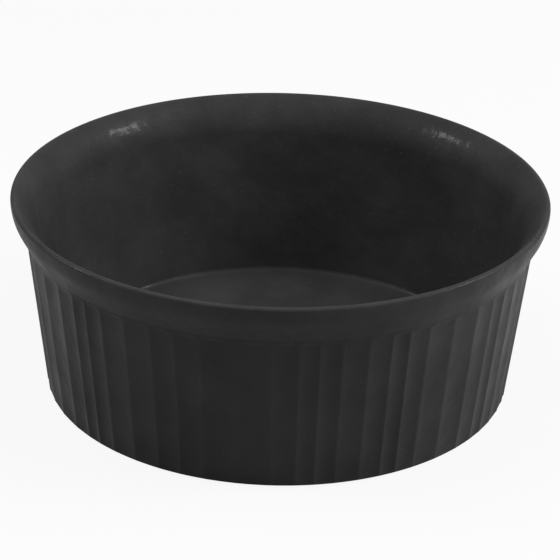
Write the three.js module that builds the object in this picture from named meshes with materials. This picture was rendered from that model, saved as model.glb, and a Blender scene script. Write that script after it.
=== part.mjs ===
// A round fluted casserole dish of glazed stoneware, with a flared lip and no lid or handles.
// Millimetres, +Z up. The origin is the centre of the base, on the surface that the dish stands on,
// and the front of the dish faces -Y.
import * as THREE from 'three';
import { mergeVertices } from 'three/addons/utils/BufferGeometryUtils.js';

// Overall sizes, measured over the glaze. The base is where the wall's taper would reach the table
const LIP_DIAMETER = 254;
const HEIGHT = 96.7;
const BASE_DIAMETER = 222.6;

// Wall and floor. The tapers are in degrees from upright, and the wall's thickness is at its top,
// from where it gets thicker towards the floor
const WALL_TAPER = 6.5;
const INSIDE_TAPER = 9;
const WALL_THICKNESS = 6;
const FLOOR_THICKNESS = 4.5;
const INSIDE_COVE_RADIUS = 3;
const GLAZE_THICKNESS = 0.4;

// Lip: a thin rounded edge. Outside, a wide curve runs from it into a flare, and inside it is bevelled.
// The slopes are in degrees from upright
const LIP_RADIUS = 1.6;
const LIP_OUTSIDE_RADIUS = 18;
const FLARE_INSIDE = 50;
const FLARE_OUTSIDE = 28;

// Flutes: shallow hollows between ridges around the outside, cut by hand, so their spacing wanders
const FLUTE_COUNT = 62;
const FLUTE_DEPTH = 0.9;
const FLUTE_RUN_OUT = 3;
const FLUTE_TURN = 0.76;
const FLUTE_WANDER = [
  { waves: 2, size: 0.34, phase: 89 },
  { waves: 6, size: 0.261, phase: 91 },
  { waves: 14, size: 0.151, phase: 144 },
];

// Base: the glaze rolls under the edge and stops above the table, and a bare foot ring stands below it
const BASE_ROUND = 1.2;
const BASE_ROUND_END = 75;
const GLAZE_LIFT = 0.5;
const FOOT_SETBACK = 1.2;
const FOOT_WIDTH = 8;
const FOOT_RECESS = 1.2;
const FOOT_DRAFT = 0.8;
const UNDERSIDE_MARGIN = 1.5;

// How many straight steps the curves of the profile are divided into
const CURVE_STEPS = 2;
const BEVEL_STEPS = 4;
const COVE_STEPS = 2;

// A direction in the profile plane: 0 faces away from the axis and 90 faces up
function direction(degrees) {
  const angle = THREE.MathUtils.degToRad(degrees);
  return new THREE.Vector2(Math.cos(angle), Math.sin(angle));
}

const outsideFacing = -WALL_TAPER;
const insideFacing = 180 - INSIDE_TAPER;
const floorHeight = FOOT_RECESS + FLOOR_THICKNESS;

// A point of the glazed surface: its place, the way it faces and the share of the flute's depth cut there
function surfacePoint(place, facing, flute = 0) {
  return { place, facing, flute };
}

// Points along a curve of the profile. The bulge is 1 on a convex curve and -1 on a hollow one
function arc(centre, radius, bulge, from, to, steps = CURVE_STEPS) {
  const points = [];
  for (let step = 0; step <= steps; step += 1) {
    const facing = direction(THREE.MathUtils.lerp(from, to, step / steps));
    const place = centre.clone().addScaledVector(facing, bulge * radius);
    points.push(surfacePoint(place, facing));
  }
  return points;
}

// A straight wall of the profile that leans out by its taper and passes through a point
function wallThrough(point, taper) {
  const slope = Math.tan(THREE.MathUtils.degToRad(taper));
  return { slope, radius: point.x - slope * point.y };
}

// How far it is from a point to a wall, along a direction
function distanceToWall(point, along, wall) {
  return (wall.radius + wall.slope * point.y - point.x) / (along.x - wall.slope * along.y);
}

// The glazed surface from the edge of the base, up the outside, over the lip and down to the floor
const lipCentre = new THREE.Vector2(LIP_DIAMETER / 2 - LIP_RADIUS, HEIGHT - LIP_RADIUS);

// Outside, the lip turns into a flare that is straight down to the neck, where the wall starts
const turnCentre = new THREE.Vector2(LIP_DIAMETER / 2 - LIP_OUTSIDE_RADIUS, lipCentre.y);
const outsideWall = wallThrough(new THREE.Vector2(BASE_DIAMETER / 2, 0), WALL_TAPER);
const flareTop = turnCentre.clone().addScaledVector(direction(-FLARE_OUTSIDE), LIP_OUTSIDE_RADIUS);
const flareDown = direction(-90 - FLARE_OUTSIDE);
const flareLength = distanceToWall(flareTop, flareDown, outsideWall);
const neck = flareTop.clone().addScaledVector(flareDown, flareLength);
const neckFacing = (outsideFacing - FLARE_OUTSIDE) / 2;

// Inside, the bevel is a curve from the lip into the wall
const insideWall = wallThrough(new THREE.Vector2(neck.x - WALL_THICKNESS, neck.y), INSIDE_TAPER);
const lipInner = direction(180 - FLARE_INSIDE);
const curveTop = lipCentre.clone().addScaledVector(lipInner, LIP_RADIUS);
const curveRadius = distanceToWall(curveTop, direction(insideFacing).sub(lipInner), insideWall);
const curveCentre = curveTop.clone().addScaledVector(lipInner, -curveRadius);

const baseCentre = new THREE.Vector2(0, GLAZE_LIFT - BASE_ROUND * direction(-BASE_ROUND_END).y);
const wallFoot = direction(outsideFacing).multiplyScalar(BASE_ROUND);
baseCentre.x = outsideWall.radius + outsideWall.slope * (baseCentre.y + wallFoot.y) - wallFoot.x;

const coveCentre = new THREE.Vector2(0, floorHeight + INSIDE_COVE_RADIUS);
const coveTop = direction(insideFacing).multiplyScalar(-INSIDE_COVE_RADIUS);
coveCentre.x = insideWall.radius + insideWall.slope * (coveCentre.y + coveTop.y) - coveTop.x;

const baseEdge = arc(baseCentre, BASE_ROUND, 1, -BASE_ROUND_END, outsideFacing, 1);
const lipUnder = arc(turnCentre, LIP_OUTSIDE_RADIUS, 1, -FLARE_OUTSIDE, 0);
const lipOver = arc(lipCentre, LIP_RADIUS, 1, 0, 90);
const lipInside = arc(lipCentre, LIP_RADIUS, 1, 90, 180 - FLARE_INSIDE, 1);
const bevel = arc(curveCentre, curveRadius, 1, 180 - FLARE_INSIDE, insideFacing, BEVEL_STEPS);
const cove = arc(coveCentre, INSIDE_COVE_RADIUS, -1, insideFacing, 90, COVE_STEPS);

// The flutes start just under the neck and fade out on the round edge of the base
const fluteTop = neck.clone().add(new THREE.Vector2(-outsideWall.slope, -1).multiplyScalar(FLUTE_RUN_OUT));
const fluteFoot = baseEdge.at(-1).place;
const surface = [
  baseEdge[0],
  surfacePoint(fluteFoot, direction(outsideFacing), 1),
  surfacePoint(fluteTop, direction(outsideFacing), 1),
  surfacePoint(neck, direction(neckFacing)),
  ...lipUnder,
  ...lipOver.slice(1),
  ...lipInside.slice(1),
  ...bevel.slice(1),
  ...cove,
  surfacePoint(new THREE.Vector2(0, floorHeight), direction(90)),
];

// Rows of the turned shapes: the top of the glaze, the clay under it and the clay of the foot
const glazeRows = surface.map((point) => (
  { radius: point.place.x, height: point.place.y, flute: point.flute }));
const clayRows = surface.map((point) => {
  const place = point.place.clone().addScaledVector(point.facing, -GLAZE_THICKNESS);
  return { radius: Math.max(place.x, 0), height: place.y, flute: point.flute };
});
const footOutside = clayRows[0].radius - FOOT_SETBACK;
const footInside = footOutside - FOOT_WIDTH;
const recessRadius = footInside - FOOT_DRAFT;

function plainRow(radius, height) {
  return { radius, height, flute: 0 };
}

// The angle of a ridge, measured from the front towards the right
function ridgeAngle(ridge) {
  let wandered = ridge;
  for (const { waves, size, phase } of FLUTE_WANDER) {
    const angle = (2 * Math.PI * waves * ridge) / FLUTE_COUNT + THREE.MathUtils.degToRad(phase);
    wandered += size * Math.sin(angle);
  }
  return THREE.MathUtils.degToRad(FLUTE_TURN) + (2 * Math.PI * wandered) / FLUTE_COUNT;
}

// Even columns stand on the ridges and odd ones at the bottoms of the flutes between them
const columns = [];
for (let ridge = 0; ridge < FLUTE_COUNT; ridge += 1) {
  const here = ridgeAngle(ridge);
  columns.push({ angle: here, cut: 0 });
  columns.push({ angle: (here + ridgeAngle(ridge + 1)) / 2, cut: FLUTE_DEPTH });
}

// Turn rows into a solid, with its columns on the ridges and flutes
function turned(rows) {
  const outline = rows.map((row) => new THREE.Vector2(row.radius, row.height));
  const geometry = new THREE.LatheGeometry(outline, columns.length);
  const position = geometry.attributes.position;
  for (let vertex = 0; vertex < position.count; vertex += 1) {
    const row = rows[vertex % rows.length];
    const column = columns[Math.floor(vertex / rows.length) % columns.length];
    const radius = row.radius - row.flute * column.cut;
    position.setXYZ(vertex, radius * Math.sin(column.angle), -radius * Math.cos(column.angle), row.height);
  }
  return geometry;
}

// Split each four-sided face from a row onwards along its other diagonal. The inner side of a skin runs
// along its rows the other way round from the solid under it, and this gives both the same faces
function splitOtherWay(geometry, rowCount, firstRow) {
  const index = geometry.index;
  for (let face = 0; face < index.count / 6; face += 1) {
    if (face % (rowCount - 1) >= firstRow) {
      const [a, b, d, c] = [0, 1, 2, 3].map((corner) => index.getX(6 * face + corner));
      [a, b, c, a, c, d].forEach((corner, place) => index.setX(6 * face + place, corner));
    }
  }
  return geometry;
}

function addMesh(group, name, geometry, material) {
  geometry.deleteAttribute('normal');
  geometry.deleteAttribute('uv');
  const merged = mergeVertices(geometry, 1e-4);
  merged.computeVertexNormals();
  const mesh = new THREE.Mesh(merged, material);
  mesh.name = name;
  group.add(mesh);
}

const stoneware = new THREE.MeshStandardMaterial({ color: 0xb7a48c, roughness: 0.85, metalness: 0 });
const glaze = new THREE.MeshStandardMaterial({ color: 0x1b1b1c, roughness: 0.42, metalness: 0 });
const undersideGlaze = new THREE.MeshStandardMaterial({ color: 0x1b1b1c, roughness: 0.46, metalness: 0 });

const dish = new THREE.Group();

const body = [
  plainRow(0, FOOT_RECESS),
  plainRow(recessRadius, FOOT_RECESS),
  plainRow(footInside, 0),
  plainRow(footOutside, 0),
  ...clayRows,
];
addMesh(dish, 'stoneware_body', turned(body), stoneware);

const coat = [...glazeRows, ...clayRows.toReversed(), glazeRows[0]];
addMesh(dish, 'glaze_coat', splitOtherWay(turned(coat), coat.length, glazeRows.length), glaze);

const undersideRadius = recessRadius - UNDERSIDE_MARGIN;
const underside = [
  plainRow(0, FOOT_RECESS - GLAZE_THICKNESS),
  plainRow(undersideRadius, FOOT_RECESS - GLAZE_THICKNESS),
  plainRow(undersideRadius, FOOT_RECESS),
  plainRow(0, FOOT_RECESS),
];
addMesh(dish, 'underside_glaze', turned(underside), undersideGlaze);

export default dish;
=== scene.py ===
import math

import bpy
from mathutils import Matrix, Vector


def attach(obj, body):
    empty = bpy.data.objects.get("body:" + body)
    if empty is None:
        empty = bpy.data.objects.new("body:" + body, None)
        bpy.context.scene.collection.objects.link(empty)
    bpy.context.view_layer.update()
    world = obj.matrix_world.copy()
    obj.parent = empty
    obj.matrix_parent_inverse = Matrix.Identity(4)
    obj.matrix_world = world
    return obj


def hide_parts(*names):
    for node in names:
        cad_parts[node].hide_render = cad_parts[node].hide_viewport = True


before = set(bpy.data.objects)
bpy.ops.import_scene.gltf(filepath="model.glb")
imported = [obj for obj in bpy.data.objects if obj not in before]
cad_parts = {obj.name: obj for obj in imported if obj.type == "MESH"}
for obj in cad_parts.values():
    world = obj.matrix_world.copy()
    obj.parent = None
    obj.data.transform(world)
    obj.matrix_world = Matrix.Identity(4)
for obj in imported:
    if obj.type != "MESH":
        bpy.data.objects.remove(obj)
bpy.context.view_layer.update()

MM = 0.001
FULL_TURN = 2 * math.pi

# Sizes in millimetres and degrees, as in the solids
LIP_DIAMETER = 254.0
HEIGHT = 96.7
BASE_DIAMETER = 222.6
WALL_TAPER = 6.5
INSIDE_TAPER = 9.0
WALL_THICKNESS = 6.0
FLOOR_THICKNESS = 4.5
INSIDE_COVE_RADIUS = 3.0
GLAZE_THICKNESS = 0.4
LIP_RADIUS = 1.6
LIP_OUTSIDE_RADIUS = 18.0
FLARE_INSIDE = 50.0
FLARE_OUTSIDE = 28.0
BASE_ROUND = 1.2
BASE_ROUND_END = 75.0
GLAZE_LIFT = 0.5
FOOT_SETBACK = 1.2
FOOT_WIDTH = 8.0
FOOT_RECESS = 1.2
FOOT_DRAFT = 0.8
UNDERSIDE_MARGIN = 1.5

# The neck is rounded here, where the solids have a corner
NECK_ROUND = 1.5

# The flutes were cut by hand, so their spacing wanders around the dish in waves, each written as its
# (number, size in flutes, phase). They are round hollows here and straight-sided ones in the solids, so
# they are shallower here, and take away about as much
FLUTE_COUNT = 62
FLUTE_DEPTH = 0.72
FLUTE_DEPTH_SPREAD = 0.15
FLUTE_RUN_OUT = 3.0
FLUTE_TURN = 0.76
FLUTE_WANDER = ((2, 0.34, 89.0), (6, 0.261, 91.0), (14, 0.151, 144.0))
FLUTE_SEED = 7

# Shares of paler colour on the ridges and the lip's top, partly glaze that ran thin there and partly a
# painted highlight, and a power that narrows the pale line on a ridge
RIDGE_THINNING_AND_HIGHLIGHT = 0.2
RIDGE_THINNING_AND_HIGHLIGHT_POWER = 3.0
LIP_THINNING_AND_HIGHLIGHT = 0.15

# The mesh: columns to a flute, how much they crowd towards its ridges, and steps along the profile
COLUMNS_PER_FLUTE = 8
RIDGE_CROWDING = 0.6
BASE_STEPS = 6
WALL_STEPS = 8
RUN_OUT_STEPS = 5
NECK_STEPS = 4
FLARE_STEPS = 4
LIP_OUTSIDE_STEPS = 6
LIP_STEPS = 14
BEVEL_STEPS = 12
INSIDE_STEPS = 5
COVE_STEPS = 10
FLOOR_STEPS = 5

# Points of the mesh closer than this, in millimetres, become one
WELD = 0.002

# Kinds of node that are used again and again
MATHS = "ShaderNodeMath"
MIX = "ShaderNodeMix"
NOISE = "ShaderNodeTexNoise"
GRAINS = "ShaderNodeTexVoronoi"
STRETCH = "ShaderNodeMapRange"

# Sockets that are not alone in their names: the colours of a Mix and the numbers of a Random Value
COLOUR_A, COLOUR_B, MIXED_COLOUR = 6, 7, 2
RANDOM_LEAST, RANDOM_MOST, RANDOM_NUMBER = 2, 3, 1


def linear(hex_colour):
    # An sRGB hex colour as the linear RGBA that a socket takes
    parts = [int(hex_colour[i:i + 2], 16) / 255 for i in (1, 3, 5)]
    return [p / 12.92 if p <= 0.04045 else ((p + 0.055) / 1.055) ** 2.4 for p in parts] + [1.0]


def add(tree, kind, feeds=None, **settings):
    # A node with its settings. Each input is fed a value, a socket, or the first output of a node
    made = tree.nodes.new(kind)
    for name, value in settings.items():
        setattr(made, name, value)
    for key, value in (feeds or {}).items():
        if isinstance(value, bpy.types.Node):
            value = value.outputs[0]
        if isinstance(value, bpy.types.NodeSocket):
            tree.links.new(value, made.inputs[key])
        else:
            made.inputs[key].default_value = value
    return made


def facing(degrees):
    # A direction in the profile: 0 faces away from the dish's axis and 90 faces up
    return Vector((math.cos(math.radians(degrees)), math.sin(math.radians(degrees))))


def arc(centre, radius, bulge, start, end, steps):
    # Points of a curve with the way each one faces. The bulge is 1 on a convex curve and -1 on a hollow one
    ways = [facing(start + (end - start) * step / steps) for step in range(steps + 1)]
    return [(centre + way * (bulge * radius), way) for way in ways]


def straight(start, end, steps):
    # Points between two others, both left out, facing square to the line
    along = (end - start).normalized()
    return [(start.lerp(end, step / steps), Vector((along.y, -along.x))) for step in range(1, steps)]


def smooth(share):
    # A share from 0 to 1 that starts and stops gently
    share = min(max(share, 0.0), 1.0)
    return share * share * (3 - 2 * share)


def distance_to_wall(point, along, wall_radius, slope):
    # How far it is to a straight wall, from its radius at the table and its slope
    return (wall_radius + slope * point.y - point.x) / (along.x - slope * along.y)


# The glazed surface, from the edge of the base up the outside, over the lip and down to the floor
outside_slope = math.tan(math.radians(WALL_TAPER))
inside_slope = math.tan(math.radians(INSIDE_TAPER))
outside_radius = BASE_DIAMETER / 2
outside_facing = -WALL_TAPER
inside_facing = 180 - INSIDE_TAPER
bevel_facing = 180 - FLARE_INSIDE
floor_height = FOOT_RECESS + FLOOR_THICKNESS
lip_centre = Vector((LIP_DIAMETER / 2 - LIP_RADIUS, HEIGHT - LIP_RADIUS))

base_centre = Vector((0.0, GLAZE_LIFT - BASE_ROUND * facing(-BASE_ROUND_END).y))
wall_foot = facing(outside_facing) * BASE_ROUND
base_centre.x = outside_radius + outside_slope * (base_centre.y + wall_foot.y) - wall_foot.x
base_edge = arc(base_centre, BASE_ROUND, 1, -BASE_ROUND_END, outside_facing, BASE_STEPS)

flare_way = facing(-FLARE_OUTSIDE)
turn_centre = Vector((LIP_DIAMETER / 2 - LIP_OUTSIDE_RADIUS, lip_centre.y))
flare_top = turn_centre + flare_way * LIP_OUTSIDE_RADIUS
flare_down = facing(-90 - FLARE_OUTSIDE)
neck_turn = (flare_way - facing(outside_facing)) * NECK_ROUND
flare_length = distance_to_wall(flare_top + neck_turn, flare_down, outside_radius, outside_slope)
flare_foot = flare_top + flare_down * flare_length
neck_centre = flare_foot + flare_way * NECK_ROUND
neck = arc(neck_centre, NECK_ROUND, -1, outside_facing, -FLARE_OUTSIDE, NECK_STEPS)

lip = arc(turn_centre, LIP_OUTSIDE_RADIUS, 1, -FLARE_OUTSIDE, 0, LIP_OUTSIDE_STEPS)
lip += arc(lip_centre, LIP_RADIUS, 1, 0, bevel_facing, LIP_STEPS)[1:]

# The wall has its thickness at its top, and is thicker towards the floor
wall_top = flare_top + flare_down * distance_to_wall(flare_top, flare_down, outside_radius, outside_slope)
inside_radius = wall_top.x - WALL_THICKNESS - inside_slope * wall_top.y
lip_inner = facing(bevel_facing)
bevel_top = lip_centre + lip_inner * LIP_RADIUS
bevel_radius = distance_to_wall(bevel_top, facing(inside_facing) - lip_inner, inside_radius, inside_slope)
bevel_centre = bevel_top - lip_inner * bevel_radius
bevel = arc(bevel_centre, bevel_radius, 1, bevel_facing, inside_facing, BEVEL_STEPS)

cove_centre = Vector((0.0, floor_height + INSIDE_COVE_RADIUS))
cove_top = facing(inside_facing) * -INSIDE_COVE_RADIUS
cove_centre.x = inside_radius + inside_slope * (cove_centre.y + cove_top.y) - cove_top.x
cove = arc(cove_centre, INSIDE_COVE_RADIUS, -1, inside_facing, 90, COVE_STEPS)

glaze_edge = base_edge[0][0]
flute_foot, flute_head = base_edge[-1][0], neck[0][0]
run_out = flute_head.lerp(flute_foot, FLUTE_RUN_OUT / (flute_head.y - flute_foot.y))
floor_middle = Vector((0.0, floor_height))
outside = base_edge + straight(flute_foot, run_out, WALL_STEPS) + [(run_out, facing(outside_facing))]
outside += straight(run_out, flute_head, RUN_OUT_STEPS) + neck
over_lip = straight(flare_foot, flare_top, FLARE_STEPS) + lip
inside = bevel[1:] + straight(bevel[-1][0], cove[0][0], INSIDE_STEPS) + cove
inside += straight(cove[-1][0], floor_middle, FLOOR_STEPS) + [(floor_middle, facing(90))]


def rows_below_glaze(depth):
    # Rows of the profile at a depth in the glaze, each as (radius, height, share of the flute's depth that
    # is cut there, share of paler colour on the lip's top, partly glaze that ran thin and partly a painted
    # highlight)
    rows = []
    for stretch in (outside, over_lip, inside):
        for place, way in stretch:
            flute, lip_run_off_and_highlight = 0.0, 0.0
            if stretch is outside:
                flute = smooth((flute_head.y - place.y) / FLUTE_RUN_OUT)
                flute *= smooth((place.y - glaze_edge.y) / (flute_foot.y - glaze_edge.y))
            if stretch is over_lip:
                # Paler where the lip's top faces up: partly glaze run thin, partly a painted highlight
                lip_run_off_and_highlight = LIP_THINNING_AND_HIGHLIGHT * smooth(way.y)
            rows.append((max(place.x - way.x * depth, 0.0), place.y - way.y * depth, flute, lip_run_off_and_highlight))
    return rows


# Turned ware with flutes: a grid whose rows follow the profile and whose columns follow the flutes
ware = bpy.data.node_groups.new("turned_ware_with_flutes", "GeometryNodeTree")
ware.interface.new_socket("Profile", in_out="INPUT", socket_type="NodeSocketGeometry")
for name in ("Rows", "Flutes", "Columns per flute", "Seed"):
    ware.interface.new_socket(name, in_out="INPUT", socket_type="NodeSocketInt")
for name in ("Flute depth", "Depth spread", "Turn"):
    ware.interface.new_socket(name, in_out="INPUT", socket_type="NodeSocketFloat")
for wave in range(len(FLUTE_WANDER)):
    for word in ("waves", "size", "phase"):
        ware.interface.new_socket(f"Wander {wave} {word}", in_out="INPUT", socket_type="NodeSocketFloat")
ware.interface.new_socket("Finish", in_out="INPUT", socket_type="NodeSocketMaterial")
ware.interface.new_socket("Ware", in_out="OUTPUT", socket_type="NodeSocketGeometry")
given = add(ware, "NodeGroupInput").outputs

columns = add(ware, MATHS, {
    0: given["Flutes"], 1: given["Columns per flute"], 2: 1.0}, operation="MULTIPLY_ADD")
grid = add(ware, "GeometryNodeMeshGrid", {"Vertices X": columns, "Vertices Y": given["Rows"]})

# Points are numbered up one column after another. Half a number more keeps the divisions off whole numbers
number = add(ware, MATHS, {0: add(ware, "GeometryNodeInputIndex"), 1: 0.5}, operation="ADD")
column = add(ware, MATHS, {0: number, 1: given["Rows"]}, operation="DIVIDE")
column = add(ware, MATHS, {0: column}, operation="FLOOR")
row = add(ware, MATHS, {0: number, 1: given["Rows"]}, operation="MODULO")
row = add(ware, MATHS, {0: row}, operation="FLOOR")

place = add(ware, "GeometryNodeSampleIndex", {
    "Geometry": given["Profile"], "Value": add(ware, "GeometryNodeInputPosition"), "Index": row},
    data_type="FLOAT_VECTOR")
place = add(ware, "ShaderNodeSeparateXYZ", {0: place}).outputs
shares = []
for name in ("flute", "lip_run_off_and_highlight"):
    share = add(ware, "GeometryNodeInputNamedAttribute", {"Name": name}, data_type="FLOAT")
    shares.append(add(ware, "GeometryNodeSampleIndex", {
        "Geometry": given["Profile"], "Value": share, "Index": row}, data_type="FLOAT"))
cut_share, lip_run_off_and_highlight = shares

# Columns crowd towards the ridges, so that a ridge stays crisp
step = add(ware, MATHS, {0: column, 1: given["Columns per flute"]}, operation="DIVIDE")
flute = add(ware, MATHS, {0: step}, operation="FLOOR")
crowd = add(ware, MATHS, {0: step, 1: FULL_TURN}, operation="MULTIPLY")
crowd = add(ware, MATHS, {0: crowd}, operation="SINE")
across = add(ware, MATHS, {0: crowd, 1: -RIDGE_CROWDING / FULL_TURN, 2: step}, operation="MULTIPLY_ADD")

# The angle of each column, from the front towards the right
around = add(ware, MATHS, {0: across, 1: FULL_TURN}, operation="MULTIPLY")
around = add(ware, MATHS, {0: around, 1: given["Flutes"]}, operation="DIVIDE")
wandered = across
for wave in range(len(FLUTE_WANDER)):
    swing = add(ware, MATHS, {
        0: around, 1: given[f"Wander {wave} waves"], 2: given[f"Wander {wave} phase"]},
        operation="MULTIPLY_ADD")
    swing = add(ware, MATHS, {0: swing}, operation="SINE")
    wandered = add(ware, MATHS, {
        0: swing, 1: given[f"Wander {wave} size"], 2: wandered}, operation="MULTIPLY_ADD")
pitch = add(ware, MATHS, {0: FULL_TURN, 1: given["Flutes"]}, operation="DIVIDE")
angle = add(ware, MATHS, {0: wandered, 1: pitch, 2: given["Turn"]}, operation="MULTIPLY_ADD")

# Each flute is a hollow between two ridges, a little deeper or shallower than the next
side = add(ware, MATHS, {0: across, 1: flute}, operation="SUBTRACT")
side = add(ware, MATHS, {0: side, 1: 2.0, 2: -1.0}, operation="MULTIPLY_ADD")
ridge = add(ware, MATHS, {0: side, 1: side}, operation="MULTIPLY")
hollow = add(ware, MATHS, {0: 1.0, 1: ridge}, operation="SUBTRACT")
least = add(ware, MATHS, {0: 1.0, 1: given["Depth spread"]}, operation="SUBTRACT")
most = add(ware, MATHS, {0: 1.0, 1: given["Depth spread"]}, operation="ADD")
depth = add(ware, "FunctionNodeRandomValue", {
    RANDOM_LEAST: least, RANDOM_MOST: most, "ID": flute, "Seed": given["Seed"]}, data_type="FLOAT")
depth = add(ware, MATHS, {0: depth.outputs[RANDOM_NUMBER], 1: given["Flute depth"]}, operation="MULTIPLY")
depth = add(ware, MATHS, {0: depth, 1: cut_share}, operation="MULTIPLY")
cut = add(ware, MATHS, {0: depth, 1: hollow}, operation="MULTIPLY")
radius = add(ware, MATHS, {0: place["X"], 1: cut}, operation="SUBTRACT")
sine = add(ware, MATHS, {0: angle}, operation="SINE")
cosine = add(ware, MATHS, {0: angle}, operation="COSINE")
right = add(ware, MATHS, {0: radius, 1: sine}, operation="MULTIPLY")
front = add(ware, MATHS, {0: radius, 1: cosine}, operation="MULTIPLY")
back = add(ware, MATHS, {0: front, 1: -1.0}, operation="MULTIPLY")
turned_place = add(ware, "ShaderNodeCombineXYZ", {"X": right, "Y": back, "Z": place["Z"]})

# Paler on the ridges and the lip's top: partly glaze that ran thin there, partly a painted highlight
thin_glaze_and_highlight = add(ware, MATHS, {0: ridge, 1: RIDGE_THINNING_AND_HIGHLIGHT_POWER}, operation="POWER")
thin_glaze_and_highlight = add(ware, MATHS, {0: thin_glaze_and_highlight, 1: cut_share}, operation="MULTIPLY")
thin_glaze_and_highlight = add(ware, MATHS, {0: thin_glaze_and_highlight, 1: RIDGE_THINNING_AND_HIGHLIGHT}, operation="MULTIPLY")
thin_glaze_and_highlight = add(ware, MATHS, {0: thin_glaze_and_highlight, 1: lip_run_off_and_highlight}, operation="MAXIMUM")

made = add(ware, "GeometryNodeSetPosition", {"Geometry": grid, "Position": turned_place})
made = add(ware, "GeometryNodeStoreNamedAttribute", {
    "Geometry": made, "Name": "thin_glaze_and_highlight", "Value": thin_glaze_and_highlight}, data_type="FLOAT")
made = add(ware, "GeometryNodeMergeByDistance", {"Geometry": made, "Distance": WELD * MM})
made = add(ware, "GeometryNodeSetShadeSmooth", {"Geometry": made})
made = add(ware, "GeometryNodeRealizeInstances", {"Geometry": made})
made = add(ware, "GeometryNodeSetMaterial", {"Geometry": made, "Material": given["Finish"]})
add(ware, "NodeGroupOutput", {"Ware": made})


def turned_piece(name, rows, finish, node):
    # One turned piece as a plain mesh, in the place of a CAD node
    profile = bpy.data.meshes.new(name + "_profile")
    radii, heights, flutes, lip_run_offs_and_highlights = zip(*rows)
    profile.from_pydata([(radius * MM, 0.0, height * MM) for radius, height in zip(radii, heights)], [], [])
    profile.attributes.new("flute", "FLOAT", "POINT").data.foreach_set("value", flutes)
    profile.attributes.new("lip_run_off_and_highlight", "FLOAT", "POINT").data.foreach_set("value", lip_run_offs_and_highlights)
    piece = bpy.data.objects.new(name, profile)
    bpy.context.collection.objects.link(piece)
    turning = piece.modifiers.new("turning", "NODES")
    turning.node_group = ware
    values = {"Rows": len(rows), "Flutes": FLUTE_COUNT, "Columns per flute": COLUMNS_PER_FLUTE,
              "Seed": FLUTE_SEED, "Flute depth": FLUTE_DEPTH * MM, "Depth spread": FLUTE_DEPTH_SPREAD,
              "Turn": math.radians(FLUTE_TURN), "Finish": finish}
    for wave, (waves, size, phase) in enumerate(FLUTE_WANDER):
        values[f"Wander {wave} waves"] = float(waves)
        values[f"Wander {wave} size"] = size
        values[f"Wander {wave} phase"] = math.radians(phase)
    for socket in ware.interface.items_tree:
        if socket.in_out == "INPUT" and socket.name in values:
            turning[socket.identifier] = values[socket.name]
    shape = bpy.data.meshes.new_from_object(piece.evaluated_get(bpy.context.evaluated_depsgraph_get()))
    piece.modifiers.remove(turning)
    piece.data = shape
    shape.name = name
    bpy.data.meshes.remove(profile)
    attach(piece, "root")
    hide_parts(node)


# Patterns are given by their real size in millimetres, and this over that size is their scale
PER_MM = 1 / MM

# A noise keeps mostly to the middle of its range, and this much of it is stretched to the whole
NOISE_LOW, NOISE_HIGH = 0.3, 0.7

# Black satin glaze. Sizes of its patterns and heights of its bumps are in millimetres, and the edge and
# core of a speck are shares of the spacing
POOL_WIDTH = 30.0
SPECK = "#454340"
SPECK_SPACING = 4.0
SPECK_EDGE, SPECK_CORE = 0.1, 0.06
SPECK_SHARE = 0.7
# Paler colour of the ridges and the lip's top: partly glaze run thin, partly a painted highlight
THIN_GLAZE_AND_HIGHLIGHT = "#3a3733"
BREAKUP_WIDTH = 12.0
BREAKUP_LEAST = 0.3
CLOUD_WIDTH = 18.0
ROUGHNESS_SPREAD = 0.08
SWELL_WIDTH, SWELL_HEIGHT = 9.0, 0.5
PEEL_WIDTH, PEEL_HEIGHT = 2.0, 0.12
BUMP_STRENGTH = 0.8
CERAMIC_IOR = 1.5
SATIN_LEVEL = 0.1
SHINE = 0.1
SHINE_ROUGHNESS = 0.16


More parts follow.
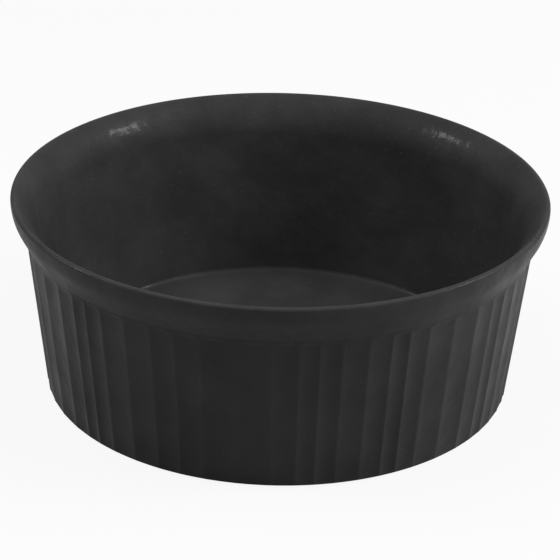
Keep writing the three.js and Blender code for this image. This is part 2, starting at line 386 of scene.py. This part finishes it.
def satin_glaze(name, dark, pale, dull):
    # A black satin glaze, dipped and fired: nearly black and softly glossy, with pools of colour,
    # pale specks, a fine orange peel in the gloss, and paler ridges and lip top, partly where it ran thin
    # and partly a painted highlight
    finish = bpy.data.materials.new(name)
    finish.use_nodes = True
    tree = finish.node_tree
    shader = tree.nodes["Principled BSDF"]
    where = add(tree, "ShaderNodeTexCoord").outputs["Object"]

    pools = add(tree, NOISE, {
        "Vector": where, "Scale": PER_MM / POOL_WIDTH, "Detail": 3.0, "Roughness": 0.55})
    pools = add(tree, STRETCH, {"Value": pools, "From Min": NOISE_LOW, "From Max": NOISE_HIGH})
    colour = add(tree, MIX, {
        "Factor": pools, COLOUR_A: linear(dark), COLOUR_B: linear(pale)}, data_type="RGBA")

    # A grain of the pattern holds at most one speck, which shows where the surface passes near its middle
    specks = add(tree, GRAINS, {"Vector": where, "Scale": PER_MM / SPECK_SPACING}).outputs["Distance"]
    speck = add(tree, STRETCH, {
        "Value": specks, "From Min": SPECK_EDGE, "From Max": SPECK_CORE, "To Max": SPECK_SHARE})
    colour = add(tree, MIX, {
        "Factor": speck, COLOUR_A: colour.outputs[MIXED_COLOUR], COLOUR_B: linear(SPECK)}, data_type="RGBA")

    # Paler where glaze ran thin on the ridges and the lip's top, which also paints a highlight there; a
    # noise breaks it up
    thin_glaze_and_highlight = add(tree, "ShaderNodeAttribute", attribute_name="thin_glaze_and_highlight").outputs["Fac"]
    breakup = add(tree, NOISE, {"Vector": where, "Scale": PER_MM / BREAKUP_WIDTH, "Detail": 4.0})
    breakup = add(tree, STRETCH, {
        "Value": breakup, "From Min": NOISE_LOW, "From Max": NOISE_HIGH, "To Min": BREAKUP_LEAST})
    thin_glaze_and_highlight = add(tree, MATHS, {0: thin_glaze_and_highlight, 1: breakup}, operation="MULTIPLY")
    colour = add(tree, MIX, {
        "Factor": thin_glaze_and_highlight, COLOUR_A: colour.outputs[MIXED_COLOUR], COLOUR_B: linear(THIN_GLAZE_AND_HIGHLIGHT)},
        data_type="RGBA")
    tree.links.new(colour.outputs[MIXED_COLOUR], shader.inputs["Base Color"])

    cloud = add(tree, NOISE, {"Vector": where, "Scale": PER_MM / CLOUD_WIDTH, "Detail": 3.0})
    rough = add(tree, STRETCH, {
        "Value": cloud, "From Min": NOISE_LOW, "From Max": NOISE_HIGH,
        "To Min": dull - ROUGHNESS_SPREAD, "To Max": dull + ROUGHNESS_SPREAD})
    tree.links.new(rough.outputs[0], shader.inputs["Roughness"])

    peel = add(tree, NOISE, {"Vector": where, "Scale": PER_MM / PEEL_WIDTH, "Detail": 2.0})
    swell = add(tree, NOISE, {"Vector": where, "Scale": PER_MM / SWELL_WIDTH, "Detail": 1.0})
    bump = add(tree, "ShaderNodeBump", {
        "Height": swell, "Strength": BUMP_STRENGTH, "Distance": SWELL_HEIGHT * MM})
    bump = add(tree, "ShaderNodeBump", {
        "Height": peel, "Strength": BUMP_STRENGTH, "Distance": PEEL_HEIGHT * MM, "Normal": bump})
    tree.links.new(bump.outputs[0], shader.inputs["Normal"])
    tree.links.new(bump.outputs[0], shader.inputs["Coat Normal"])
    shader.inputs["IOR"].default_value = CERAMIC_IOR
    shader.inputs["Specular IOR Level"].default_value = SATIN_LEVEL
    shader.inputs["Coat Weight"].default_value = SHINE
    shader.inputs["Coat Roughness"].default_value = SHINE_ROUGHNESS
    return finish


glaze = satin_glaze("black_satin_glaze", dark="#242425", pale="#2d2d2d", dull=0.44)
underside_glaze = satin_glaze("black_dull_glaze", dark="#282828", pale="#2f2f2f", dull=0.52)

# Unglazed stoneware: buff clay with fine sand in it, dry and matt, which gives a warm, speckled, gritty ring
CLAY_DARK, CLAY_PALE = "#ab937a", "#bfa98c"
BLUSH_WIDTH = 25.0
SAND = "#6e5a46"
SAND_SPACING = 1.2
SAND_EDGE, SAND_CORE = 0.25, 0.15
SAND_SHARE = 0.6
CLAY_ROUGHNESS_LEAST, CLAY_ROUGHNESS_MOST = 0.8, 0.92
GRIT_WIDTH, GRIT_HEIGHT = 0.8, 0.1
GRIT_STRENGTH = 0.6

clay = bpy.data.materials.new("bare_buff_stoneware")
clay.use_nodes = True
tree = clay.node_tree
shader = tree.nodes["Principled BSDF"]
where = add(tree, "ShaderNodeTexCoord").outputs["Object"]
blush = add(tree, NOISE, {"Vector": where, "Scale": PER_MM / BLUSH_WIDTH, "Detail": 4.0})
blush = add(tree, STRETCH, {"Value": blush, "From Min": NOISE_LOW, "From Max": NOISE_HIGH})
colour = add(tree, MIX, {
    "Factor": blush, COLOUR_A: linear(CLAY_DARK), COLOUR_B: linear(CLAY_PALE)}, data_type="RGBA")
sand = add(tree, GRAINS, {"Vector": where, "Scale": PER_MM / SAND_SPACING}).outputs["Distance"]
grain = add(tree, STRETCH, {
    "Value": sand, "From Min": SAND_EDGE, "From Max": SAND_CORE, "To Max": SAND_SHARE})
colour = add(tree, MIX, {
    "Factor": grain, COLOUR_A: colour.outputs[MIXED_COLOUR], COLOUR_B: linear(SAND)}, data_type="RGBA")
tree.links.new(colour.outputs[MIXED_COLOUR], shader.inputs["Base Color"])
rough = add(tree, STRETCH, {"Value": blush, "To Min": CLAY_ROUGHNESS_LEAST, "To Max": CLAY_ROUGHNESS_MOST})
tree.links.new(rough.outputs[0], shader.inputs["Roughness"])
grit = add(tree, NOISE, {"Vector": where, "Scale": PER_MM / GRIT_WIDTH, "Detail": 2.0})
bump = add(tree, "ShaderNodeBump", {"Height": grit, "Strength": GRIT_STRENGTH, "Distance": GRIT_HEIGHT * MM})
tree.links.new(bump.outputs[0], shader.inputs["Normal"])
shader.inputs["IOR"].default_value = CERAMIC_IOR

# The glaze is a closed skin: its top, its underside back again, and the narrow edge under the base
glaze_top = rows_below_glaze(0.0)
glaze_under = rows_below_glaze(GLAZE_THICKNESS)
glaze_rows = glaze_top + glaze_under[::-1] + glaze_top[:1]
turned_piece("dish_glaze", glaze_rows, glaze, "glaze_coat")

# The clay starts at the middle of the recess, goes over the foot ring and then lies under the glaze
foot_outside = glaze_under[0][0] - FOOT_SETBACK
foot_inside = foot_outside - FOOT_WIDTH
recess_radius = foot_inside - FOOT_DRAFT
foot = [(0.0, FOOT_RECESS), (recess_radius, FOOT_RECESS), (foot_inside, 0.0), (foot_outside, 0.0)]
body_rows = [(radius, height, 0.0, 0.0) for radius, height in foot] + glaze_under
turned_piece("dish_body", body_rows, clay, "stoneware_body")

patch_radius = recess_radius - UNDERSIDE_MARGIN
patch_low = FOOT_RECESS - GLAZE_THICKNESS
patch = [(0.0, patch_low), (patch_radius, patch_low), (patch_radius, FOOT_RECESS), (0.0, FOOT_RECESS)]
patch_rows = [(radius, height, 0.0, 0.0) for radius, height in patch]
turned_piece("underside_patch", patch_rows, underside_glaze, "underside_glaze")

# Surroundings: the reach is in metres, and the shares are of plain white
FLOOR_REACH = 40.0
FLOOR_WHITE = 0.9
GLOSS_WHITE = 0.14
PAPER = "#a0a0a0"
WHITE = "#ffffff"
ROOM_LIGHT = 0.1


def white_seen(tree):
    # How white a ray finds the surroundings: wholly for the eye and through glass, and in part for gloss
    path = add(tree, "ShaderNodeLightPath").outputs
    gloss = add(tree, MATHS, {0: path["Is Glossy Ray"], 1: GLOSS_WHITE}, operation="MULTIPLY")
    seen = add(tree, MATHS, {0: path["Is Camera Ray"], 1: path["Is Transmission Ray"]}, operation="MAXIMUM")
    return add(tree, MATHS, {0: seen, 1: gloss}, operation="MAXIMUM")


# The floor is mostly white to the eye, with a share of the lit paper that keeps the dish's shadow
floor_corners = [(-FLOOR_REACH, -FLOOR_REACH, 0), (FLOOR_REACH, -FLOOR_REACH, 0),
                 (FLOOR_REACH, FLOOR_REACH, 0), (-FLOOR_REACH, FLOOR_REACH, 0)]
floor_mesh = bpy.data.meshes.new("floor")
floor_mesh.from_pydata(floor_corners, [], [(0, 1, 2, 3)])
floor = bpy.data.objects.new("floor", floor_mesh)
bpy.context.collection.objects.link(floor)
paper = bpy.data.materials.new("white_paper")
paper.use_nodes = True
tree = paper.node_tree
seen = add(tree, MATHS, {0: white_seen(tree), 1: FLOOR_WHITE}, operation="MULTIPLY")
matt = add(tree, "ShaderNodeBsdfDiffuse", {"Color": linear(PAPER)})
white = add(tree, "ShaderNodeEmission", {"Color": linear(WHITE), "Strength": 1.0})
mixed = add(tree, "ShaderNodeMixShader", {0: seen, 1: matt, 2: white})
tree.links.new(mixed.outputs[0], tree.nodes["Material Output"].inputs["Surface"])
floor_mesh.materials.append(paper)

# The world is white to the eye, and lights the dish as a dim room
world = bpy.data.worlds.new("studio")
bpy.context.scene.world = world
world.use_nodes = True
tree = world.node_tree
room = add(tree, "ShaderNodeBackground", {"Color": linear(WHITE), "Strength": ROOM_LIGHT})
white = add(tree, "ShaderNodeBackground", {"Color": linear(WHITE), "Strength": 1.0})
mixed = add(tree, "ShaderNodeMixShader", {0: white_seen(tree), 1: room, 2: white})
tree.links.new(mixed.outputs[0], tree.nodes["World Output"].inputs["Surface"])


def soft_lamp(name, around, up, away, width, height, power, glints):
    # A softbox aimed at the dish, with degrees from the front towards the right and up, metres and watts.
    # Only a lamp with glints shows in the gloss
    lamp = bpy.data.lights.new(name, "AREA")
    lamp.shape = "RECTANGLE"
    lamp.size, lamp.size_y = width, height
    lamp.energy = power
    box = bpy.data.objects.new(name, lamp)
    bpy.context.collection.objects.link(box)
    turn, tilt = math.radians(around), math.radians(up)
    way = Vector((math.sin(turn) * math.cos(tilt), -math.cos(turn) * math.cos(tilt), math.sin(tilt)))
    box.location = way * away + Vector((0.0, 0.0, HEIGHT / 2 * MM))
    box.rotation_euler = (-way).to_track_quat("-Z", "Y").to_euler()
    box.visible_glossy = glints


# Wide boxes give the soft light, and small lamps at the sides give the two glints inside the lip
soft_lamp("overhead_softbox", around=0, up=82, away=1.4, width=1.6, height=1.6, power=13.0, glints=False)
soft_lamp("right_softbox", around=85, up=40, away=1.5, width=0.9, height=0.9, power=30.0, glints=False)
soft_lamp("left_softbox", around=-90, up=60, away=1.5, width=0.9, height=0.9, power=17.0, glints=False)
soft_lamp("right_small_lamp", around=88, up=34, away=1.5, width=0.25, height=0.18, power=5.0, glints=True)
soft_lamp("left_small_lamp", around=-94, up=34, away=1.5, width=0.25, height=0.18, power=4.2, glints=True)

# The camera stands where the photo's outline puts it, in degrees and in lip radii from the lip's middle
LENS_PIXELS = 2419.4
IMAGE_PIXELS = 560.0
CAMERA_DISTANCE = 9.0
CAMERA_ELEVATION = 23.6213
CAMERA_ROLL = 1.3082
CAMERA_AIM = Vector((0.0048, 0.0, -0.3593))

lip_reach = LIP_DIAMETER / 2 * MM
lip_middle = Vector((0.0, 0.0, lip_centre.y * MM))
eye_way = facing(CAMERA_ELEVATION)
eye = lip_middle + Vector((0.0, -eye_way.x, eye_way.y)) * (CAMERA_DISTANCE * lip_reach)
ahead = (lip_middle + CAMERA_AIM * lip_reach - eye).normalized()
level = ahead.cross(Vector((0.0, 0.0, 1.0))).normalized()
camera_turn = Matrix((level, level.cross(ahead), -ahead)).transposed().to_4x4()
camera_roll = Matrix.Rotation(math.radians(CAMERA_ROLL), 4, "Z")
lens = bpy.data.cameras.new("photo_camera")
lens.sensor_fit = "HORIZONTAL"
lens.lens = LENS_PIXELS / IMAGE_PIXELS * lens.sensor_width
camera = bpy.data.objects.new("photo_camera", lens)
bpy.context.collection.objects.link(camera)
camera.matrix_world = Matrix.Translation(eye) @ camera_turn @ camera_roll
bpy.context.scene.camera = camera
bpy.context.scene.view_settings.view_transform = "Standard"
